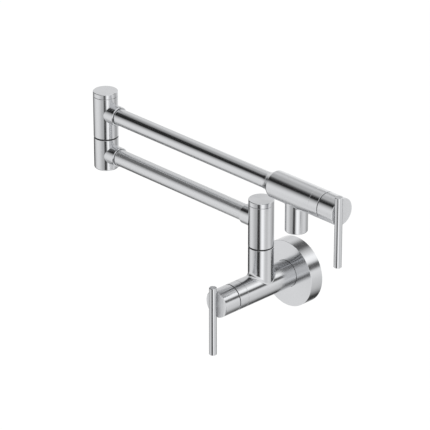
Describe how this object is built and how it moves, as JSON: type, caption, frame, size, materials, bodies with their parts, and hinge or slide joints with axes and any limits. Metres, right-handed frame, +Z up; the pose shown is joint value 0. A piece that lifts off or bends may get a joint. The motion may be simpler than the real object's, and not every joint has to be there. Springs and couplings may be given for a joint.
{
  "type": "wall mounted pot filler",
  "caption": "Folding double jointed arm tap on a round wall flange, with a lever valve at the wall and another beside the spout.",
  "frame": {"origin": "centre of the wall flange's back face, on the wall", "axes": "+Z up, +Y into the wall, +X to the right seen from the room; both arms folded along the wall, the lower one towards -X, the upper one back towards +X"},
  "size_m": [0.3925, 0.1337, 0.2131],
  "materials": {
    "steel": "polished stainless steel with a soft sheen",
    "brass": "machined brass",
    "rubber": "black sealing rubber",
    "ceramic": "lapped white ceramic",
    "plastic": "pale grey moulded plastic",
    "black_plastic": "black bearing plastic",
    "fastener": "plain stainless fasteners"
  },
  "bodies": {
    "wall_side": {"wall_flange": "steel", "wall_gasket": "rubber", "flange_grub_screw": "fastener", "valve_body": "steel", "post_stub": "steel", "inlet_strainer": "fastener", "bonnet_sleeve": "steel", "cartridge_housing": "brass", "cartridge_seat_seal": "rubber", "cartridge_o_ring": "rubber", "fixed_disc": "ceramic", "post_spigot": "brass", "post_spigot_o_rings": "rubber", "post_thrust_washer": "black_plastic", "post_retaining_washer": "fastener", "post_retaining_screw": "fastener"},
    "lower_arm": {"post_sleeve": "steel", "post_bush": "brass", "post_cap": "steel", "lower_tube": "steel", "elbow_base": "steel", "elbow_spigot": "brass", "elbow_spigot_o_rings": "rubber", "elbow_thrust_washer": "black_plastic", "elbow_retaining_washer": "fastener", "elbow_retaining_screw": "fastener"},
    "upper_arm": {"elbow_sleeve": "steel", "elbow_bush": "brass", "elbow_cap": "steel", "upper_tube": "steel", "spout_valve_body": "steel", "spout_bonnet_sleeve": "steel", "spout_cartridge_housing": "brass", "spout_cartridge_seat_seal": "rubber", "spout_cartridge_o_ring": "rubber", "spout_fixed_disc": "ceramic", "aerator_housing": "plastic", "aerator_insert": "plastic", "aerator_washer": "rubber"},
    "inlet_handle": {"spindle": "brass", "turning_disc": "ceramic", "knob": "steel", "knob_grub_screw": "fastener", "lever_stud": "fastener", "lever": "steel"},
    "spout_handle": {"spout_spindle": "brass", "spout_turning_disc": "ceramic", "spout_knob": "steel", "spout_knob_grub_screw": "fastener", "spout_lever_stud": "fastener", "spout_lever": "steel"}
  },
  "joints": [
    {"name": "post_swivel", "type": "hinge", "parent": "wall_side", "child": "lower_arm", "pos_m": [0, -0.057, 0.0483], "axis": [0, 0, 1], "range_deg": [0, 180]},
    {"name": "elbow_swivel", "type": "hinge", "parent": "lower_arm", "child": "upper_arm", "pos_m": [-0.25, -0.057, 0.0986], "axis": [0, 0, 1], "range_deg": [-180, 180]},
    {"name": "inlet_valve", "type": "hinge", "parent": "wall_side", "child": "inlet_handle", "pos_m": [0, -0.1027, 0], "axis": [0, -1, 0], "range_deg": [0, 90]},
    {"name": "spout_valve", "type": "hinge", "parent": "upper_arm", "child": "spout_handle", "pos_m": [0.0973, -0.057, 0.1288], "axis": [-1, 0, 0], "range_deg": [0, 90]}
  ]
}
